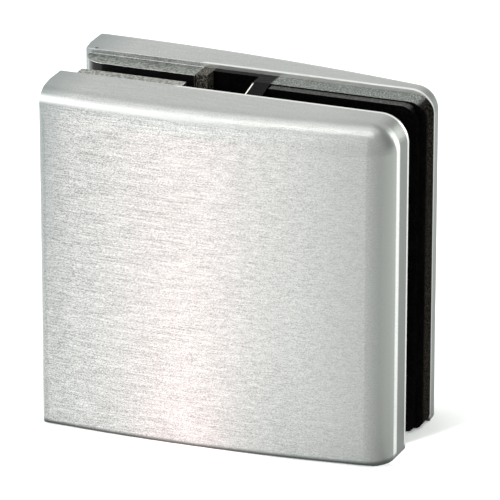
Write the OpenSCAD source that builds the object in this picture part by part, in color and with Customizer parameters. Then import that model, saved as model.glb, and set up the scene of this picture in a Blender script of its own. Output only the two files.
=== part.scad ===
// Square glass clamp: two bowed metal halves drawn together by countersunk screws at the closed end,
// with a rubber liner, a packing pad and a thin front gasket in the slot that takes the pane.
// X runs from the closed end to the open end, Y from the front half to the back half, Z is up.
// The origin is the bottom centre of the whole clamp.

/* [Halves] */
// Height of both halves
height = 50; // [44:1:60]
// Width of the front half, closed end to open end
front_width = 52.4; // [48:0.2:60]
// How far the back half reaches past the front half at the closed end
back_overhang = 0.9; // [0.4:0.1:1.6]
// Distance between the metal faces of the slot, as the clamp is stored
jaw_gap = 10.4; // [9.8:0.1:12]
// Greatest thickness of the front half
front_thick = 10.8; // [9.6:0.2:14]
// Greatest thickness of the back half
back_thick = 9.6; // [9:0.2:13]
// Radius of the front half's bowed face
front_bow_r = 208; // [170:1:320]
// Distance of the front half's thickest line from its closed end
front_apex = 16.2; // [10:0.2:24]
// Radius of the back half's bowed face
back_bow_r = 268; // [220:2:340]
// Distance of the back half's thickest line from its closed end
back_apex = 1.6; // [1.6:0.2:12]
// Rounding of the front half's top edge, open edge and the corner between them
front_edge_r = 4; // [2.5:0.1:4.4]
// Rounding of the back half's top edge, open edge and the corner between them
back_edge_r = 3.5; // [2:0.1:3.6]
// Rounding of the outer upright edge at the closed end
closed_edge_r = 1.5; // [0.8:0.1:1.6]
// Rounding of the outer bottom edge
base_edge_r = 0.5; // [0.3:0.1:1]
// Straight part of the front half's closed end, from the slot face
front_straight = 3.8; // [2:0.2:5]
// Lean of the front half's closed end beyond its straight part, in degrees
front_closed_lean = 7; // [0:1:10]
// How far the back half's closed end falls back at the slot face
back_fall = 0.4; // [0.1:0.1:0.8]
// Width of that falling part, from the slot face
back_fall_width = 2.6; // [1.5:0.1:4]
// Lean of the front half's open side towards its bowed face, in degrees
front_open_lean = 2; // [0:0.5:6]
// Lean of the back half's open side towards its bowed face, in degrees
back_open_lean = 4.5; // [0:0.5:10]

/* [Webs] */
// Thickness of the web on each half, measured from the slot face
web_thick = 3.65; // [3:0.05:3.8]
// How far the webs reach in from the back half's closed end
web_reach = 18.6; // [17:0.2:21]
// How far the front web stands back from the front half's closed end
front_web_inset = 1.7; // [1:0.1:3]
// How far the back web stands back from the back half's closed end
back_web_inset = 1; // [0.6:0.1:2]
// Rounding of the back web's upright edge at the closed end
back_web_r = 3.4; // [1:0.1:3.5]
// How far the webs stop short of the top and bottom of the halves
web_drop = 0.7; // [0.4:0.1:2]
// Diameter of the split bore along the webs, for the fixing screw
fixing_d = 6; // [5:0.1:6.4]

/* [Screws] */
// Thread diameter of the clamp screws
screw_d = 6; // [5:0.5:6]
// Length of a clamp screw, over its head
screw_length = 23; // [22:0.5:24]
// Head diameter of a clamp screw, with a 90 degree cone
head_d = 11.8; // [10:0.2:12]
// Straight rim of the screw head
head_rim = 0.4; // [0.2:0.1:0.8]
// How far the head lies below the bowed face
head_sink = 0.6; // [0.4:0.1:1]
// Key size of the hexagon socket
socket_key = 4; // [3:0.5:4]
// Depth of the hexagon socket
socket_depth = 2.4; // [1.6:0.2:2.8]
// Distance between the two screws
screw_spacing = 24; // [22:1:30]
// Radial clearance of the screw in its seat and in the tapped hole
screw_fit = 0.05; // [0.03:0.01:0.1]
// Radial clearance of the screw shank through the back half
shank_clear = 0.3; // [0.2:0.05:0.5]

/* [Rubber] */
// Thickness of the liner's pad and rib
pad_thick = 3.4; // [2.8:0.1:3.6]
// Thickness of the liner between rib and stop wall
base_thick = 1.2; // [0.8:0.1:2]
// Thickness of the rib beside the webs
rib_width = 1.8; // [1.2:0.1:2.4]
// Free width between rib and stop wall
chamber_width = 7; // [6:0.2:9]
// Thickness of the stop wall that the pane's edge meets
wall_width = 2.5; // [2:0.1:3.5]
// Thickness of the packing pad on the liner
packing_thick = 1.5; // [0.8:0.1:1.6]
// How far the packing pad stops short of the open end
packing_inset = 0.7; // [0.3:0.1:3]
// Thickness of the front gasket
gasket_thick = 1; // [0.8:0.1:1.2]
// How far the front gasket stops short of the open end
gasket_inset = 0.5; // [0.3:0.1:2]
// How far the liner stops short of the top of the halves
pad_drop = 0.6; // [0.4:0.1:1.5]
// How far the rubber stops short of the bottom of the halves
pad_lift = 0.1; // [0.1:0.1:0.6]
// How much lower the packing pad and the front gasket end than the liner
layer_step = 0.2; // [0.1:0.1:0.6]
// How much the stop wall falls away towards its front, at top and bottom
wall_fall = 0.8; // [0.4:0.1:1.5]
// Rounding of the rubber's top corners at the open end
pad_corner_r = 2.6; // [1.5:0.1:4]
// Rounding of the rubber's bottom corners at the open end
foot_corner_r = 1.1; // [0.5:0.1:2]

/* [Travel] */
// How far the screws can draw the front half in
close_travel = 3; // [2:0.1:3]
// Clearance between the rubber stop wall and the front half when drawn in
wall_clear = 0.3; // [0.2:0.1:0.6]
// Clearance between pieces of rubber and metal that stand side by side
side_clear = 0.1; // [0.05:0.05:0.3]

/* [Hidden] */
$fn = 96;
cut = 1;
micrometre = 0.001;
hair = 0.002;
steel = [0.74, 0.75, 0.74];
bright_steel = [0.62, 0.63, 0.64];
liner_black = [0.07, 0.07, 0.07];
packing_black = [0.1, 0.1, 0.1];

mid_z = height / 2;
back_width = front_width + back_overhang;
open_x = back_width / 2;
front_closed_x = open_x - front_width;
back_closed_x = -open_x;
slot_y = (front_thick - back_thick) / 2;
front_face_y = slot_y - jaw_gap / 2;
back_face_y = slot_y + jaw_gap / 2;

web_end_x = back_closed_x + web_reach;
front_web_x = front_closed_x + front_web_inset;
back_web_x = back_closed_x + back_web_inset;
web_height = height - 2 * web_drop;

rib_x = web_end_x + side_clear;
rib_end_x = rib_x + rib_width;
wall_x = rib_end_x + chamber_width;
wall_end_x = wall_x + wall_width;
pad_face_y = back_face_y - pad_thick;
wall_front_y = front_face_y + close_travel + wall_clear;
layer_drop = pad_drop + layer_step;
layer_x = wall_end_x + 3 * side_clear;

screw_x = (front_web_x + web_end_x) / 2;
screw_r = screw_d / 2;
head_r = head_d / 2;
back_apex_x = back_closed_x + back_apex;
head_y = back_face_y + bow_height(screw_x - back_apex_x, back_thick, back_bow_r) - head_sink;
screw_end_y = head_y - screw_length;
tapped_end_y = screw_end_y - close_travel - 2 * wall_clear;
washer_r = fixing_d;

// Thickness of a bowed half at a distance from its thickest line.
function bow_height(off, thick, bow_r) = thick - bow_r + sqrt(bow_r * bow_r - off * off);

// Distances from the corner of slot face and open side, along and across an open side that leans.
function turned(from_corner, lean) =
    [from_corner * [cos(lean), sin(lean)], from_corner * [-sin(lean), cos(lean)]];

// Axis of a bowed face in the frame of the open side, to the whole micrometre.
function bow_axis(width, apex, thick, bow_r, lean) =
    [for (along = turned([apex - width, thick - bow_r], lean)) round(along / micrometre) * micrometre];

// Centre of the ball of radius r that touches the bowed face and the open side from inside.
function open_ball(axis, r, bow_r) =
    [-r, axis[1] + sqrt(pow(bow_r - r, 2) - pow(r + axis[0], 2))];

// How far along a leaning side a rounding of radius r sits when it also touches the bowed face.
function lean_run(from_axis, along, r, bow_r) =
    -(from_axis * along) + sqrt(pow(from_axis * along, 2) - from_axis * from_axis + pow(bow_r - r, 2));

// Corner region of an outline between two outward directions, outside a circle of radius r about a point.
module corner_waste(centre, first, second, r) {
    difference() {
        polygon([
            centre,
            centre + 3 * r * first,
            centre + 3 * r * (first + second),
            centre + 3 * r * second
        ]);
        translate(centre)
            circle(r);
    }
}

// Plan outline of a half in the frame of its open side, rounded at both outer corners. The circles are a
// hair larger than the roundings they stand for, so that they cross the sides instead of just touching them.
module half_plan(width, axis, thick, bow_r, edge_r, fall, lean_from, lean, open_lean) {
    ball = open_ball(axis, edge_r, bow_r);
    lean_start = turned([-width, lean_from], open_lean);
    lean_along = turned([sin(lean), cos(lean)], open_lean);
    lean_out = turned([-cos(lean), sin(lean)], open_lean);
    round_start = lean_start - closed_edge_r * lean_out;
    lean_ball = round_start + lean_run(round_start - axis, lean_along, closed_edge_r, bow_r) * lean_along;
    difference() {
        intersection() {
            polygon([
                turned([fall - width, 0], open_lean),
                [0, 0],
                [0, 3 * thick],
                lean_start + 3 * thick * lean_along,
                lean_start
            ]);
            translate(axis)
                circle(bow_r, $fn = 360);
        }
        corner_waste(ball, [1, 0], (ball - axis) / norm(ball - axis), edge_r + hair);
        corner_waste(lean_ball, (lean_ball - axis) / norm(lean_ball - axis), lean_out, closed_edge_r + hair);
    }
}

// Upright section of a half from its bow axis outwards, with the top and bottom outer edges rounded.
module half_section(depth, bow_r, edge_r) {
    difference() {
        translate([bow_r - depth, 0])
            square([depth, height]);
        corner_waste([bow_r - edge_r, height - edge_r], [1, 0], [0, 1], edge_r);
        corner_waste([bow_r - base_edge_r, base_edge_r], [0, -1], [1, 0], base_edge_r);
    }
}

// Front view outline of a half in the frame of its open side, with its top corner rounded.
module half_front(width, edge_r) {
    difference() {
        translate([-2 * width, 0])
            square([2 * width, height]);
        corner_waste([-edge_r, height - edge_r], [1, 0], [0, 1], edge_r);
    }
}

// A bowed half without its web, slot face on y = 0, with its top and open edges rounded: a torus along
// the bowed edge, cylinders up and along the open side, and a ball where the three meet. Its closed end
// runs from a fall at the slot face to a distance lean_from, and leans from there.
module bowed_half(width, apex, thick, bow_r, edge_r, fall, lean_from, lean, open_lean) {
    axis = bow_axis(width, apex, thick, bow_r, open_lean);
    translate([open_x, 0, 0])
        rotate([0, 0, open_lean])
            difference() {
                intersection() {
                    linear_extrude(height)
                        half_plan(width, axis, thick, bow_r, edge_r, fall, lean_from, lean, open_lean);
                    translate([axis[0], axis[1], 0])
                        rotate_extrude($fn = 360)
                            half_section(width, bow_r, edge_r);
                    translate([0, 3 * thick + cut, 0])
                        rotate([90, 0, 0])
                            linear_extrude(3 * thick + 2 * cut)
                                half_front(width, edge_r);
                }
                ball_waste(axis, bow_r, edge_r);
            }
}

// Waste outside the ball at the corner, beyond its centre towards the top, the open side and the bowed
// face. The ball too is a little larger than the edge rounding, so that it crosses the three roundings.
module ball_waste(axis, bow_r, edge_r) {
    ball = open_ball(axis, edge_r, bow_r);
    normal = (ball - axis) / norm(ball - axis);
    difference() {
        translate([0, 0, height - edge_r])
            linear_extrude(2 * edge_r)
                polygon([
                    ball,
                    ball + [2 * edge_r, 0],
                    ball + 2 * edge_r * ([1, 0] + normal),
                    ball + 2 * edge_r * normal
                ]);
        translate([ball[0], ball[1], height - edge_r])
            sphere(edge_r + 5 * hair);
    }
}

// Screw along -Y with its head's face at the origin, grown by a radial clearance.
module screw_body(clear, length) {
    cone = head_r - screw_r;
    rotate([90, 0, 0]) {
        cylinder(h = length, r = screw_r + clear);
        cylinder(h = head_rim, r = head_r + clear);
        translate([0, 0, head_rim])
            cylinder(h = cone, r1 = head_r + clear, r2 = screw_r + clear);
    }
}

// Split bore for the fixing screw, on the parting plane at mid height.
module fixing_bore(r) {
    translate([back_closed_x - cut, slot_y, mid_z])
        rotate([0, 90, 0])
            cylinder(h = rib_end_x - back_closed_x + 2 * cut, r = r);
}

module each_screw_place(y) {
    for (side = [-1, 1])
        translate([screw_x, y, mid_z + side * screw_spacing / 2])
            children();
}

// Blind tapped hole with a drill point, running along -Y from the parting gap.
module tapped_hole() {
    depth = slot_y - tapped_end_y;
    r = screw_r + screw_fit;
    rotate([90, 0, 0]) {
        cylinder(h = depth, r = r);
        translate([0, 0, depth])
            cylinder(h = r / 2, r1 = r, r2 = 0);
    }
}

module front_half() {
    color(steel)
        difference() {
            union() {
                translate([0, front_face_y, 0])
                    mirror([0, 1, 0])
                        bowed_half(
                            front_width, front_apex, front_thick, front_bow_r, front_edge_r,
                            0, front_straight, front_closed_lean, front_open_lean
                        );
                translate([front_web_x, front_face_y - cut, web_drop])
                    cube([web_end_x - front_web_x, web_thick + cut, web_height]);
            }
            fixing_bore(fixing_d / 2);
            each_screw_place(slot_y)
                tapped_hole();
        }
}

module back_half() {
    color(steel)
        difference() {
            union() {
                translate([0, back_face_y, 0])
                    bowed_half(
                        back_width, back_apex, back_thick, back_bow_r, back_edge_r,
                        back_fall, back_fall_width, 0, back_open_lean
                    );
                translate([0, 0, web_drop])
                    linear_extrude(web_height)
                        back_web_plan();
            }
            fixing_bore(fixing_d / 2);
            each_screw_place(head_y)
                screw_seat();
        }
}

// Back web with its upright edge at the closed end rounded.
module back_web_plan() {
    face_y = back_face_y - web_thick;
    difference() {
        translate([back_web_x, face_y])
            square([web_end_x - back_web_x, web_thick + cut]);
        corner_waste([back_web_x, face_y] + back_web_r * [1, 1], [0, -1], [-1, 0], back_web_r);
    }
}

// Countersunk seat and clearance hole for a clamp screw, open through the bowed face.
module screw_seat() {
    screw_body(screw_fit, head_rim + head_r);
    rotate([90, 0, 0])
        cylinder(h = screw_length, r = screw_r + shank_clear);
    rotate([-90, 0, 0])
        cylinder(h = 2 * head_sink + cut, r = head_r + screw_fit);
}

// Front view of a rubber layer between two X places, with round corners at the open end.
module layer_front(from_x, to_x, drop) {
    top_z = height - drop;
    difference() {
        translate([from_x, pad_lift])
            square([to_x - from_x, top_z - pad_lift]);
        corner_waste([to_x, top_z] - pad_corner_r * [1, 1], [1, 0], [0, 1], pad_corner_r);
        corner_waste([to_x, pad_lift] + foot_corner_r * [-1, 1], [0, -1], [1, 0], foot_corner_r);
    }
}

// Rubber layer between two Y places.
module rubber_layer(from_x, to_x, drop, from_y, to_y) {
    translate([0, to_y, 0])
        rotate([90, 0, 0])
            linear_extrude(to_y - from_y)
                layer_front(from_x, to_x, drop);
}

// Side view of the stop wall: it falls away towards its front at top and bottom.
module stop_wall() {
    rotate([90, 0, 90])
        translate([0, 0, wall_x])
            linear_extrude(wall_width)
                polygon([
                    [pad_face_y + cut, pad_lift],
                    [pad_face_y + cut, height - pad_drop],
                    [pad_face_y, height - pad_drop],
                    [wall_front_y, height - pad_drop - wall_fall],
                    [wall_front_y, pad_lift + wall_fall],
                    [pad_face_y, pad_lift]
                ]);
}

module back_liner() {
    color(liner_black)
        difference() {
            union() {
                rubber_layer(rib_x, open_x, pad_drop, back_face_y - base_thick, back_face_y);
                rubber_layer(wall_x, open_x, pad_drop, pad_face_y, back_face_y);
                translate([rib_x, pad_face_y, pad_lift])
                    cube([rib_width, pad_thick, height - pad_drop - pad_lift]);
                stop_wall();
            }
            fixing_bore(washer_r);
        }
}

module packing_pad() {
    color(packing_black)
        rubber_layer(layer_x, open_x - packing_inset, layer_drop, pad_face_y - packing_thick, pad_face_y);
}

module front_gasket() {
    color(liner_black)
        rubber_layer(layer_x, open_x - gasket_inset, layer_drop, front_face_y, front_face_y + gasket_thick);
}

// Countersunk clamp screw with a hexagon socket.
module clamp_screw(side) {
    color(bright_steel)
        translate([screw_x, head_y, mid_z + side * screw_spacing / 2])
            difference() {
                screw_body(0, screw_length);
                translate([0, cut, 0])
                    rotate([90, 0, 0])
                        cylinder(h = socket_depth + cut, d = socket_key / cos(30), $fn = 6);
            }
}

module upper_screw() {
    clamp_screw(1);
}

module lower_screw() {
    clamp_screw(-1);
}

front_half();
back_half();
back_liner();
packing_pad();
front_gasket();
upper_screw();
lower_screw();
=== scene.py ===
"""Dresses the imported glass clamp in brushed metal, turned steel and rubber, in a pale studio."""
import math

import bpy
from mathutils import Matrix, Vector

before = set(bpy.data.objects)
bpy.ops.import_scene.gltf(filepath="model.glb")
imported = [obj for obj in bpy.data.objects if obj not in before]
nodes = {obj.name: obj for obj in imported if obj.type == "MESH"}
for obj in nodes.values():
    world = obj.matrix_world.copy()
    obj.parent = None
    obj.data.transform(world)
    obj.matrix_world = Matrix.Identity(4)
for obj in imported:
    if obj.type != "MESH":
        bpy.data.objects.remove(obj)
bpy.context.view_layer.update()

scene = bpy.context.scene

MM = 0.001

# Places on the clamp: its middle, a pit in the back half's top, the slot faces of the halves,
# the upright line that the bowed front seems to mirror from, and the axis of the rounding
# along the front half's open edge.
MIDDLE = Vector((0.45, 0.6, 25.0)) * MM
PIT = Vector((-24.75, 6.2, 50.0)) * MM
FRONT_SLOT_Y = -4.6 * MM
BACK_SLOT_Y = 5.8 * MM
BOW_MIRROR = (26.5 * MM, 74.0 * MM)
OPEN_EDGE_AXIS = (22.5 * MM, -8.87 * MM)

# The photograph's view, in degrees and metres from the middle.
VIEW_AZIMUTH, VIEW_ELEVATION, VIEW_DISTANCE = 21.38, 21.23, 0.711

FLOOR_REACH = 4.0
# Pale base colour painted on as highlights along crests, lips and edges; on edges it is also wear.
PAINTED_HIGHLIGHT = (0.7, 0.7, 0.69)
COOL = (0.95, 1.0, 0.99)
PLAIN = (0.985, 1.0, 0.975)

# Glow of the floor and of the sky by direction: degrees, where 0 is in front and 90 at the
# open end, with strengths.
FRONT_GLOW = (
    (-180, 0.4), (-60, 0.2), (-40, 0.0), (-30.5, 0.05), (-28.6, 0.42), (-26.2, 0.6),
    (-24.3, 0.68), (-22.4, 0.92), (-20.4, 1.32), (-17.2, 1.48), (-13.6, 0.78), (-9.5, 0.36),
    (-6, 0.36), (-3.3, 0.26), (-1.6, 0.15), (0.5, 0.05), (15, 0.1), (35, 0.1), (180, 0.2),
)
RIM_GLOW = ((65, 0.0), (85, 0.5), (143, 0.6), (151, 0.05), (180, 0.05))
FRONT_SKY = (
    (-90, 0.0), (-45, 0.75), (-32, 1.25), (-26, 1.85), (-21, 2.6), (-17, 2.5), (-12, 1.75),
    (-8, 1.35), (-4, 1.05), (2, 1.0), (40, 0.95), (75, 0.7), (110, 0.0),
)

# Name, radiance, azimuth, elevation, distance, width, height and colour of each soft panel.
SOFTBOXES = (
    ("left_softbox", 4.0, -85.0, 40.0, 0.9, 0.5, 0.6, COOL),
    ("top_softbox", 1.3, 180.0, 82.0, 0.9, 0.9, 0.5, PLAIN),
    ("back_softbox", 0.3, 195.0, 25.0, 0.9, 1.0, 0.7, PLAIN),
    ("edge_softbox", 13.0, 0.0, 78.0, 0.5, 0.3, 0.03, PLAIN),
    ("corner_softbox", 8.0, 146.0, 14.0, 0.5, 0.09, 0.25, PLAIN),
)


class Tree:
    """A node tree with the helpers that the materials and the sky share."""

    def __init__(self, tree, space):
        self.tree = tree
        self.place = self.add("ShaderNodeTexCoord").outputs[space]
        self.at = self.add("ShaderNodeSeparateXYZ", {0: self.place}).outputs

    def add(self, kind, inputs=None, **settings):
        """A new node, whose inputs are constants or outputs of other nodes."""
        node = self.tree.nodes.new(kind)
        for key, value in settings.items():
            setattr(node, key, value)
        for socket, value in (inputs or {}).items():
            if isinstance(value, bpy.types.NodeSocket):
                self.tree.links.new(value, node.inputs[socket])
            else:
                node.inputs[socket].default_value = value
        return node

    def math(self, operation, *values):
        return self.add("ShaderNodeMath", dict(enumerate(values)), operation=operation).outputs[0]

    def both(self, first, second):
        return self.math("MULTIPLY", first, second)

    def span(self, value, low, high, to_low, to_high):
        return self.add(
            "ShaderNodeMapRange",
            {0: value, 1: low, 2: high, 3: to_low, 4: to_high},
        ).outputs[0]

    def rise(self, value, low, high):
        """0 below low and 1 above high."""
        return self.span(value, low, high, 0.0, 1.0)

    def fall(self, value, low, high):
        """1 below low and 0 above high."""
        return self.span(value, low, high, 1.0, 0.0)

    def fan(self, centre, stops):
        """Strength by direction from a place, as the stops give it."""
        east = self.math("SUBTRACT", self.at["X"], centre[0])
        south = self.math("SUBTRACT", centre[1], self.at["Y"])
        turn = self.math("ARCTAN2", east, south)
        first, last = stops[0][0], stops[-1][0]
        peak = max(strength for _, strength in stops)
        ramp = self.add(
            "ShaderNodeValToRGB",
            {0: self.rise(turn, math.radians(first), math.radians(last))},
        )
        elements = ramp.color_ramp.elements
        elements.remove(elements[1])
        for index, (degrees, strength) in enumerate(stops):
            stop = elements.new((degrees - first) / (last - first)) if index else elements[0]
            stop.color = (strength / peak, strength / peak, strength / peak, 1.0)
        return self.both(ramp.outputs[0], peak)


class Shader(Tree):
    """A material's node tree around one Principled shader."""

    def __init__(self, name, **values):
        self.material = bpy.data.materials.new(name)
        self.material.use_nodes = True
        super().__init__(self.material.node_tree, "Object")
        self.surface = self.tree.nodes["Principled BSDF"]
        self.normal = self.add("ShaderNodeNewGeometry").outputs["Normal"]
        self.facing = self.add("ShaderNodeSeparateXYZ", {0: self.normal}).outputs
        for socket, value in values.items():
            self.surface.inputs[socket.replace("_", " ").title()].default_value = value

    def feed(self, socket, value):
        self.tree.links.new(value, self.surface.inputs[socket])

    def noise(self, stretch, detail=3.0, rough=0.55):
        """Noise with stretch cells to the metre along each axis, turned off its own grid."""
        scaled = self.add("ShaderNodeMapping", {"Vector": self.place, "Scale": stretch}).outputs[0]
        turned = self.add(
            "ShaderNodeMapping",
            {"Vector": scaled, "Rotation": (0.6, 0.8, 0.4)},
        ).outputs[0]
        return self.add(
            "ShaderNodeTexNoise",
            {"Vector": turned, "Scale": 1.0, "Detail": detail, "Roughness": rough},
        ).outputs["Fac"]

    def compare(self, operation, first, second):
        """One number from two vectors."""
        return self.add(
            "ShaderNodeVectorMath",
            {0: first, 1: second},
            operation=operation,
        ).outputs["Value"]

    def blend(self, factor, first, second):
        mix = self.add("ShaderNodeMix", {0: factor}, data_type="RGBA")
        for index, value in ((6, first), (7, second)):
            if isinstance(value, bpy.types.NodeSocket):
                self.tree.links.new(value, mix.inputs[index])
            else:
                mix.inputs[index].default_value = (*value, 1.0)
        return mix.outputs[2]

    def flecked(self, fleck, tone, least, most):
        """A tone that varies between least and most times itself."""
        return self.blend(fleck, [least * part for part in tone], [most * part for part in tone])

    def worn_and_highlit_edges(self, radius):
        """A normal rounded over sharp edges, and how far it turns there."""
        rounded = self.add("ShaderNodeBevel", {"Radius": radius}, samples=4).outputs[0]
        return rounded, self.fall(self.compare("DOT_PRODUCT", rounded, self.normal), 0.85, 0.97)

    def bump(self, height, strength, depth, normal):
        relief = self.add(
            "ShaderNodeBump",
            {"Height": height, "Strength": strength, "Distance": depth, "Normal": normal},
        )
        self.feed("Normal", relief.outputs[0])


def brushed_metal(name, slot_side, slot_y, ledge_tone, flank_shade_tone, lip_highlight_tone):
    """Satin metal brushed along X, with painted highlights on crests, lips and worn edges, painted
    shade on flanks, ends, foot and slot faces, and darker ledges.
    """
    s = Shader(name, metallic=1.0, anisotropic=0.5)
    x, y, z = (s.at[axis] for axis in "XYZ")
    openward, backward, upward = (s.facing[axis] for axis in "XYZ")

    # The brushing, strongest at the closed end and fainter on tops.
    fine = s.noise((4600.0, 12000.0, 12000.0), 1.0, 0.6)
    streaks = s.noise((200.0, 6000.0, 6000.0), 2.0, 0.6)
    cloud = s.noise((55.0, 55.0, 90.0), 2.0)
    grain = s.rise(s.math("MULTIPLY_ADD", streaks, 0.5, fine), 0.5, 1.0)
    soft = s.blend(s.rise(cloud, 0.35, 0.65), (0.396, 0.4, 0.394), (0.416, 0.416, 0.41))
    tone = s.blend(grain, (0.15, 0.15, 0.15), (0.665, 0.665, 0.66))
    tone = s.blend(s.span(x, -20.0 * MM, 20.0 * MM, 0.0, 0.5), tone, soft)
    tone = s.blend(s.span(upward, 0.5, 0.9, 0.0, 0.55), tone, soft)

    # Painted shade: darker high up at the closed end, towards the open end, and on faces turned to
    # the open end.
    shade = s.both(s.fall(x, -26.5 * MM, -20.0 * MM), s.span(z, 10.0 * MM, 46.0 * MM, 0.0, 1.1))
    tone = s.blend(shade, tone, (0.25, 0.275, 0.28))
    tone = s.blend(s.span(x, 14.0 * MM, 24.5 * MM, 0.0, 0.5), tone, (0.27, 0.28, 0.275))
    tone = s.blend(s.span(openward, 0.18, 0.8, 0.0, 0.85), tone, (0.185, 0.192, 0.182))

    # A painted highlight line where the front half's open edge stops rounding, then painted shade
    # on the flat flank.
    highlight_line = s.both(s.rise(openward, 0.9, 0.97), s.rise(y, -9.25 * MM, -8.95 * MM))
    tone = s.blend(highlight_line, tone, s.blend(grain, (0.38, 0.38, 0.375), (0.72, 0.72, 0.71)))
    painted_flank = s.both(s.rise(openward, 0.35, 0.95), s.rise(y, -8.1 * MM, -7.75 * MM))
    tone = s.blend(painted_flank, tone, flank_shade_tone)

    # A painted highlight along the crest of the top edge's rounding.
    crest_highlight = s.both(s.rise(upward, 0.58, 0.68), s.fall(upward, 0.76, 0.86))
    tone = s.blend(s.both(crest_highlight, s.fall(x, -8.0 * MM, 10.0 * MM)), tone, PAINTED_HIGHLIGHT)

    # Darker flecked tops of the webs, and the pit, painted as a dark spot of shade with no hole
    # cut.
    ledge = s.both(s.fall(z, 49.45 * MM, 49.7 * MM), s.rise(upward, 0.9, 0.97))
    fleck = s.rise(s.noise((2600.0, 1800.0, 2600.0), 2.0), 0.38, 0.62)
    tone = s.blend(ledge, tone, s.flecked(fleck, ledge_tone, 0.45, 1.6))
    away = s.compare("DISTANCE", s.place, PIT)
    tone = s.blend(s.fall(away, 0.24 * MM, 0.34 * MM), tone, (0.01, 0.01, 0.01))

    # Painted shade on the faces in the slot, and painted highlights along the lips of the slot.
    slot_shade = s.both(s.rise(s.both(backward, slot_side), 0.6, 0.9), s.fall(y, 3.5 * MM, 4.5 * MM))
    tone = s.blend(slot_shade, tone, (0.03, 0.03, 0.03))
    inward = s.both(s.math("SUBTRACT", y, slot_y), slot_side)
    lip_highlight = s.both(s.rise(inward, -0.6 * MM, -0.45 * MM), s.fall(inward, 0.0, 0.1 * MM))
    lip_highlight = s.both(lip_highlight, s.rise(x, -8.5 * MM, -7.5 * MM))
    tone = s.blend(lip_highlight, tone, s.blend(painted_flank, PAINTED_HIGHLIGHT, lip_highlight_tone))

    # Edges painted bright, partly wear and partly painted highlight, and painted shade as a dark
    # line at the foot.
    normal, wear_and_highlight = s.worn_and_highlit_edges(0.16 * MM)
    tone = s.blend(wear_and_highlight, tone, s.blend(painted_flank, PAINTED_HIGHLIGHT, (0.3, 0.3, 0.3)))
    foot_shade = s.fall(z, 0.4 * MM, 0.85 * MM)
    s.feed("Base Color", s.blend(foot_shade, tone, (0.08, 0.088, 0.086)))
    s.feed("Roughness", s.span(grain, 0.0, 1.0, 0.38, 0.29))
    s.feed("Tangent", s.add("ShaderNodeCombineXYZ", {"X": 0.0, "Y": 0.0, "Z": 1.0}).outputs[0])
    s.bump(grain, 0.1, 0.03 * MM, normal)
    return s.material


def turned_steel():
    """Plain machine screw steel with faint turning rings and handling marks."""
    s = Shader("plain_steel", metallic=1.0)
    marks = s.noise((900.0, 2600.0, 900.0), 3.0)
    cloud = s.noise((260.0, 260.0, 260.0), 2.0)
    tone = s.blend(s.rise(cloud, 0.35, 0.65), (0.34, 0.345, 0.35), (0.46, 0.46, 0.455))
    s.feed("Base Color", tone)
    s.feed("Roughness", s.span(marks, 0.3, 0.7, 0.26, 0.46))
    s.bump(marks, 0.15, 0.02 * MM, s.normal)
    return s.material


def moulded_rubber(name, top_dust_and_sheen_tone):
    """Black rubber with brown specks of dust, its tops painted greyer as a painted sheen, its open
    end and rib painted lighter as painted light, and a painted glint on the stop wall.
    """
    s = Shader(name)
    x, y, _ = (s.at[axis] for axis in "XYZ")
    openward, _, upward = (s.facing[axis] for axis in "XYZ")
    s.feed("Specular IOR Level", s.span(openward, 0.3, 0.8, 0.05, 0.0))

    # Dust all over.
    speck = s.noise((3300.0, 3300.0, 3300.0), 3.0, 0.7)
    cloud = s.noise((420.0, 420.0, 420.0), 2.0)
    dust = s.rise(s.math("MULTIPLY_ADD", cloud, 0.35, speck), 0.6, 0.86)
    tone = s.blend(dust, (0.0003, 0.0003, 0.0004), (0.0035, 0.003, 0.003))

    # Dust flecks on the liner's open end, on its rib and on the tops of the pads, painted lighter
    # there: painted light on the lit open end and the shaded rib, painted sheen on the tops.
    fleck = s.rise(s.noise((5200.0, 5200.0, 5200.0), 2.0), 0.45, 0.68)
    painted_flank = s.both(s.rise(openward, 0.5, 0.9), s.span(y, 2.4 * MM, 3.4 * MM, 0.04, 1.0))
    tone = s.blend(painted_flank, tone, s.blend(fleck, (0.001, 0.001, 0.001), (0.042, 0.036, 0.03)))
    rib_dust_and_light = s.fall(x, -6.2 * MM, -6.1 * MM)
    tone = s.blend(rib_dust_and_light, tone, s.blend(fleck, (0.012, 0.011, 0.009), (0.2, 0.19, 0.16)))
    top = s.rise(upward, 0.8, 0.95)
    pad_dust_and_sheen = s.both(top, s.rise(x, 3.3 * MM, 3.6 * MM))
    tone = s.blend(pad_dust_and_sheen, tone, s.flecked(fleck, top_dust_and_sheen_tone, 0.4, 1.7))

    # A painted highlight: a thin bright glint along the stop wall's top.
    painted_glint = s.both(s.rise(x, 0.8 * MM, 0.85 * MM), s.fall(x, 1.0 * MM, 1.08 * MM))
    painted_glint = s.both(painted_glint, s.fall(y, 1.6 * MM, 2.2 * MM))
    s.feed("Base Color", s.blend(s.both(top, painted_glint), tone, (0.75, 0.74, 0.7)))
    s.feed("Roughness", s.span(speck, 0.3, 0.7, 0.4, 0.62))
    s.bump(speck, 0.5, 0.08 * MM, s.normal)
    return s.material


def dress(material, *names):
    for name in names:
        mesh = nodes[name].data
        mesh.materials.clear()
        mesh.materials.append(material)


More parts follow.
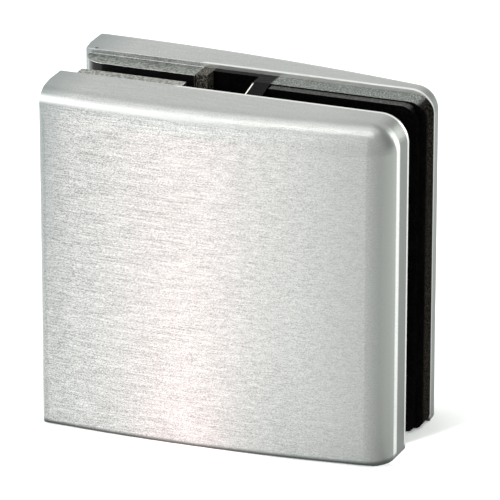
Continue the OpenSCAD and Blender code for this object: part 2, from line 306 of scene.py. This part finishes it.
def add_floor(front_glow, rim_glow):
    """A pale floor that glows as if lit from below, so that the metal mirrors soft bands."""
    corners = [(east * FLOOR_REACH, north * FLOOR_REACH, 0)
               for east, north in ((-1, -1), (1, -1), (1, 1), (-1, 1))]
    mesh = bpy.data.meshes.new("floor")
    mesh.from_pydata(corners, [], [(0, 1, 2, 3)])
    floor = bpy.data.objects.new("floor", mesh)
    scene.collection.objects.link(floor)
    s = Shader("pale_floor", roughness=0.9)
    s.feed("Base Color", s.blend(s.noise((2.0, 2.0, 2.0)), (0.86, 0.86, 0.86), (0.9, 0.9, 0.9)))
    front = s.fan(BOW_MIRROR, front_glow)
    s.feed("Emission Color", s.blend(s.rise(front, 0.3, 1.2), (0.95, 1.0, 0.97), (1.0, 0.8, 0.8)))
    s.feed("Emission Strength", s.math("ADD", front, s.fan(OPEN_EDGE_AXIS, rim_glow)))
    s.material.cycles.emission_sampling = "NONE"
    mesh.materials.append(s.material)


def aim(thing, azimuth, elevation, distance):
    """Places a lamp or the camera so that it faces the clamp's middle; azimuth 0 is in front."""
    a, e = math.radians(azimuth), math.radians(elevation)
    way = Vector((math.sin(a) * math.cos(e), -math.cos(a) * math.cos(e), math.sin(e)))
    thing.location = MIDDLE + distance * way
    thing.rotation_euler = (MIDDLE - thing.location).to_track_quat("-Z", "Y").to_euler()


def softbox(name, radiance, azimuth, elevation, distance, width, tall, colour):
    """A soft panel that faces the clamp and that the camera itself does not see."""
    light = bpy.data.lights.new(name, "AREA")
    light.shape = "RECTANGLE"
    light.size = width
    light.size_y = tall
    light.energy = radiance * math.pi * width * tall
    light.color = colour
    lamp = bpy.data.objects.new(name, light)
    scene.collection.objects.link(lamp)
    aim(lamp, azimuth, elevation, distance)
    lamp.visible_camera = False


def add_world(front_sky):
    """A sky that grows brighter towards the back, with soft upright bands in front."""
    world = bpy.data.worlds.new("studio")
    world.use_nodes = True
    t = Tree(world.node_tree, "Generated")
    bands = t.both(t.fan((0.0, 0.0), front_sky), t.fall(t.at["Z"], 0.75, 0.93))
    strength = t.math("ADD", bands, t.span(t.at["Y"], -0.8, 0.5, 0.17, 0.84))
    sky = t.tree.nodes["Background"]
    sky.inputs["Color"].default_value = (0.98, 1.0, 0.975, 1.0)
    t.tree.links.new(strength, sky.inputs["Strength"])
    scene.world = world


def add_camera():
    """The camera at the photograph's angle."""
    camera = bpy.data.cameras.new("camera")
    camera.sensor_width = 36.0
    camera.lens = 359.3
    camera.shift_x = 0.0074
    camera.shift_y = -0.0064
    camera.clip_start = 0.01
    eye = bpy.data.objects.new("camera", camera)
    scene.collection.objects.link(eye)
    aim(eye, VIEW_AZIMUTH, VIEW_ELEVATION, VIEW_DISTANCE)
    scene.camera = eye


front_steel = brushed_metal(
    "front_steel", 1.0, FRONT_SLOT_Y,
    ledge_tone=(0.24, 0.24, 0.22), flank_shade_tone=(0.095, 0.101, 0.094), lip_highlight_tone=(0.5, 0.5, 0.49),
)
back_steel = brushed_metal(
    "back_steel", -1.0, BACK_SLOT_Y,
    ledge_tone=(0.21, 0.22, 0.205), flank_shade_tone=(0.062, 0.07, 0.068), lip_highlight_tone=(0.26, 0.26, 0.255),
)
dress(front_steel, "front_half")
dress(back_steel, "back_half")
dress(turned_steel(), "upper_screw", "lower_screw")
dress(moulded_rubber("liner_rubber", (0.2, 0.21, 0.2)), "back_liner")
dress(moulded_rubber("layer_rubber", (0.07, 0.07, 0.068)), "packing_pad", "front_gasket")

scene.view_settings.view_transform = "Standard"
add_floor(FRONT_GLOW, RIM_GLOW)
add_world(FRONT_SKY)
add_camera()
for panel in SOFTBOXES:
    softbox(*panel)
